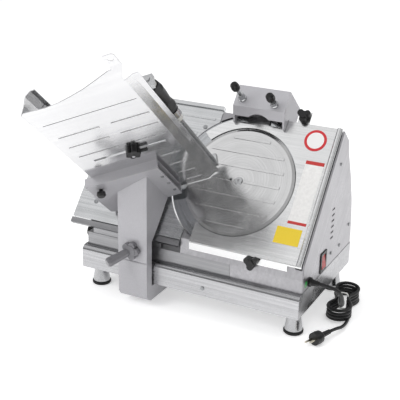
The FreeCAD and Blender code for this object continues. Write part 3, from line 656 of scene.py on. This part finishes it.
@dataclass
class MainsLead:
    """Black mains cord: down from its gland into a tied hank, then out to the plug."""

    nodes: dict[str, bpy.types.Object]
    width_mm: float = 7.0
    half_turns: int = 9
    half_long: float = 64.7
    half_wide: float = 23.5
    waist: float = 6.5
    level_mm: float = 7.15
    centre_mm: tuple[float, float] = (34.0, 130.0)
    skew: float = 6.0
    length_m: float = 1.8
    seat_mm: float = 22.0
    # Corners of half an octagon, as shares of the lobe's half width, which keep the fold round.
    corner_in: float = 0.414
    corner_down: float = 0.586

    def face(self) -> Vector:
        """Gives the middle of the gland's seat on the end panel, on the floor."""
        low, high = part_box("cord_gland")
        return Vector((high.x - self.seat_mm * MM, (low.y + high.y) / 2, 0.0))

    def route(self) -> list[Vector]:
        """Gives the control points from the gland to the plug.

        Returns:
            Control points of the cord's spline, in metres.
        """
        low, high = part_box("cord_gland")
        rise = (low.z + high.z) / 2 / MM
        drop = [(self.seat_mm, 0.0, rise), (64.0, 0.0, rise), (66.0, 32.0, rise - 48.0),
                (50.0, 58.0, rise - 70.0), (36.0, 96.0, rise - 76.0)]
        points = drop + self.hank()
        points += [(66.0, 42.0, 7.5), (57.5, 16.6, 13.6), (50.5, -2.1, 14.0)]
        return [self.face() + Vector(p) * MM for p in points]

    def hank(self) -> list[Point]:
        """Gives the folded turns, wound from the top down and pinched where the tie holds them.

        Returns:
            Points from the gland's seat, in millimetres.
        """
        turn = Matrix.Rotation(math.radians(self.skew), 2, "Z")
        rest, over_tie, steps = 3.7, 5.4, 7
        top = 3.9 + self.level_mm * (self.half_turns - 1) / 2
        points: list[Point] = []
        for half in range(self.half_turns):
            side = -1.0 if half % 2 == 0 else 1.0
            wide = self.half_wide + 0.6 * math.sin(1.9 * half)
            long = self.half_long + 2.0 * math.cos(2.3 * half)
            lean = 1.0 * math.sin(2.7 * half)
            corner, inner = long - self.corner_down * wide, self.corner_in * wide
            lobe = [(self.waist, 0.0), (wide, 0.45 * long), (wide, corner), (inner, long),
                    (-inner, long), (-wide, corner), (-wide, 0.45 * long)]
            if half == self.half_turns - 1:
                lobe += [(-self.waist, 0.0), (-wide, -0.6 * long)]
            for step, (x, y) in enumerate(lobe):
                place = turn @ Vector((side * x + (lean if 0 < step < steps else 0.0), -side * y))
                height = top - self.level_mm * (half + step / steps) / 2
                height = max(over_tie if step in (0, steps) else rest, height)
                points.append((self.centre_mm[0] + place.x, self.centre_mm[1] + place.y, height))
        return points

    def tie(self) -> bpy.types.Object:
        """Makes the nylon strap that pinches the hank.

        Returns:
            The strap's object.
        """
        wide, tall, thick, band, clear = 10.6, 18.4, 1.3, 4.5, 0.2
        turn = Matrix.Rotation(math.radians(self.skew), 3, "Z")
        shell = bmesh.new()
        rings: list[list[bmesh.types.BMVert]] = []
        for i in range(48):
            angle = math.tau * i / 48
            round_x, round_z = (math.copysign(abs(v) ** 0.6, v) for v in (math.cos(angle), math.sin(angle)))
            ring = []
            for grow, side in ((0.0, -1.0), (0.0, 1.0), (thick, 1.0), (thick, -1.0)):
                spot = turn @ Vector(((wide + grow) * round_x, side * band / 2, (tall + grow) * round_z))
                base = Vector((self.centre_mm[0], self.centre_mm[1], thick + clear + tall))
                ring.append(shell.verts.new(self.face() + (base + spot) * MM))
            rings.append(ring)
        for one, two in zip(rings, rings[1:] + rings[:1]):
            for k in range(4):
                shell.faces.new((one[k], one[(k + 1) % 4], two[(k + 1) % 4], two[k]))
        bmesh.ops.recalc_face_normals(shell, faces=shell.faces)
        mesh = bpy.data.meshes.new("cord_tie")
        shell.to_mesh(mesh)
        shell.free()
        strap = bpy.data.objects.new("cord_tie", mesh)
        bpy.context.scene.collection.objects.link(strap)
        mesh.materials.append(STRAP.material())
        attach(strap, "frame")
        return strap

    def build(self) -> None:
        """Draws the cord and its tie."""
        curve = bpy.data.curves.new("mains_cord", "CURVE")
        curve.dimensions = "3D"
        curve.bevel_depth = self.width_mm * MM / 2
        curve.bevel_resolution = 5
        curve.resolution_u = 8
        curve.use_fill_caps = True
        spline = curve.splines.new("NURBS")
        points = self.route()
        spline.points.add(len(points) - 1)
        for spot, point in zip(spline.points, points):
            spot.co = (*point, 1.0)
        spline.order_u = 3
        spline.use_endpoint_u = True
        cord = bpy.data.objects.new("mains_cord", curve)
        bpy.context.scene.collection.objects.link(cord)
        curve.materials.append(JACKET.material())
        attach(cord, "frame")
        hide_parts("cord", "cord_hank")
        ends = [self.nodes[name] for name in ("plug", "plug_pins")] + [self.tie()]
        LOG.info("mains cord of %d points", len(points))


@dataclass
class Palette:
    """Materials made so far, one for each finish."""

    made: dict[Finish, bpy.types.Material] = field(default_factory=dict)

    def material(self, finish: Finish) -> bpy.types.Material:
        """Gives a finish's material, made once.

        Args:
            finish: The finish.

        Returns:
            Its material.
        """
        if finish not in self.made:
            self.made[finish] = finish.material()
        return self.made[finish]


@dataclass
class Assembly:
    """Group of CAD nodes that are dressed together."""

    nodes: dict[str, bpy.types.Object]
    palette: Palette
    centre: Point

    def finishes(self) -> dict[Finish, tuple[str, ...]]:
        """Gives the nodes of the group by the finish that they wear.

        Returns:
            Node names by finish.
        """
        raise NotImplementedError

    def build(self) -> None:
        """Dresses the group."""
        for finish, names in self.finishes().items():
            material = self.palette.material(finish)
            for name in names:
                mesh = self.nodes[name].data
                for index in range(len(mesh.materials)):
                    mesh.materials[index] = material
                if not mesh.materials:
                    mesh.materials.append(material)


class Base(Assembly):
    """Folded base with its riser, feet and screws."""

    def finishes(self) -> dict[Finish, tuple[str, ...]]:
        """Gives the base's nodes by finish."""
        # The riser's tint is darkened as painted shade under the guard plate's lip.
        return {BASE_SHEET: ("base_shell", "bottom_plate"), SHADED_RISER_SHEET: ("chassis_riser",),
                FOOT_STEEL: ("foot_cones",), RUBBER: ("foot_pads",), SCREW_STEEL: ("cover_screws",)}


class Housing(Assembly):
    """Motor, its drive and the sheet housing round them, with the switch."""

    def finishes(self) -> dict[Finish, tuple[str, ...]]:
        """Gives the housing's nodes by finish."""
        return {PANEL_SHEET: ("end_panel", "motor_housing"), MOTOR_ENAMEL: ("motor",), RUBBER: ("belt",),
                BRIGHT_STEEL: ("motor_pulley", "housing_studs"), BLACK_ABS: ("switch_bezel",),
                ROCKER_RED: ("switch_rocker",)}


class Knife(Assembly):
    """Knife on its spindle, its cover and the guard plate with the blank plates."""

    def finishes(self) -> dict[Finish, tuple[str, ...]]:
        """Gives the knife's nodes by finish."""
        return {GUARD_PLATE: ("guard_plate",), replace(KNIFE_COVER, centre=self.centre): ("knife_cover",),
                replace(BLADE_STEEL, centre=self.centre): ("blade", "driven_pulley"),
                BRIGHT_STEEL: ("spindle", "bearings", "cover_draw_rod"),
                replace(BLANK_VINYL, centre=self.centre): ("blank_labels",)}


class Gauge(Assembly):
    """Gauge plate on its rods, with the dial that sets the slice."""

    def finishes(self) -> dict[Finish, tuple[str, ...]]:
        """Gives the gauge's nodes by finish."""
        # The gauge sill shares the riser's tint, which is darkened as painted shade.
        return {GAUGE_SHEET: ("gauge_plate", "gauge_top_rail"), SHADED_RISER_SHEET: ("gauge_sill",),
                CASTING_ENAMEL: ("gauge_bracket",), BRIGHT_STEEL: ("gauge_slide_rods",),
                SCREW_STEEL: ("gauge_screws",), BLACK_ABS: ("dial",)}


class Carriage(Assembly):
    """Block that carries the arm along the rod under the base."""

    def finishes(self) -> dict[Finish, tuple[str, ...]]:
        """Gives the carriage's nodes by finish."""
        return {CASTING_ENAMEL: ("carriage_block",), NYLON: ("carriage_bushings",),
                BRIGHT_STEEL: ("carriage_rod", "rod_brackets")}


class ArmAndTray(Assembly):
    """Cast arm with its lever, and the tray, fence and pusher that it carries."""

    def finishes(self) -> dict[Finish, tuple[str, ...]]:
        """Gives the arm's and the tray's nodes by finish."""
        return {CASTING_ENAMEL: ("arm", "tray_head"), LEVER_ENAMEL: ("lock_lever",),
                replace(TRAY_SHEET, centre=self.centre): ("tray", "fence"), NYLON: ("pusher_sleeve",),
                BRIGHT_STEEL: ("lock_stud", "pusher_rod", "rod_blocks", "pusher_plate"),
                SCREW_STEEL: ("head_screws",), BLACK_ABS: ("head_knob", "fence_knob", "pusher_grip")}


class Sharpener(Assembly):
    """Case with its two plungers and clamping knobs."""

    def finishes(self) -> dict[Finish, tuple[str, ...]]:
        """Gives the sharpener's nodes by finish."""
        return {CASTING_ENAMEL: ("sharpener_case",),
                BRIGHT_STEEL: ("ferrules", "left_plunger", "right_plunger"),
                BLACK_ABS: ("left_plunger_knob", "right_plunger_knob", "top_knob", "low_knob")}


class LeadEnds(Assembly):
    """Gland and plug of the mains lead, and its plain CAD solids."""

    def finishes(self) -> dict[Finish, tuple[str, ...]]:
        """Gives the lead's nodes by finish."""
        return {BLACK_ABS: ("cord_gland", "plug"), PIN_BRASS: ("plug_pins",), RUBBER: ("cord", "cord_hank")}


def main() -> None:
    """Builds the scene in order."""
    logging.basicConfig(level=logging.INFO)
    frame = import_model()
    joints = {joint["name"]: joint for joint in frame["joints"]}
    centre = tuple(float(v) for v in joints["blade_spin"]["pos_m"])
    Studio().build()
    MainsLead(frame["nodes"]).build()
    palette = Palette()
    for group in (Base, Housing, Knife, Gauge, Carriage, ArmAndTray, Sharpener, LeadEnds):
        group(frame["nodes"], palette, centre).build()
    LOG.info("dressed %d nodes", len(frame["nodes"]))


if __name__ == "__main__":
    main()
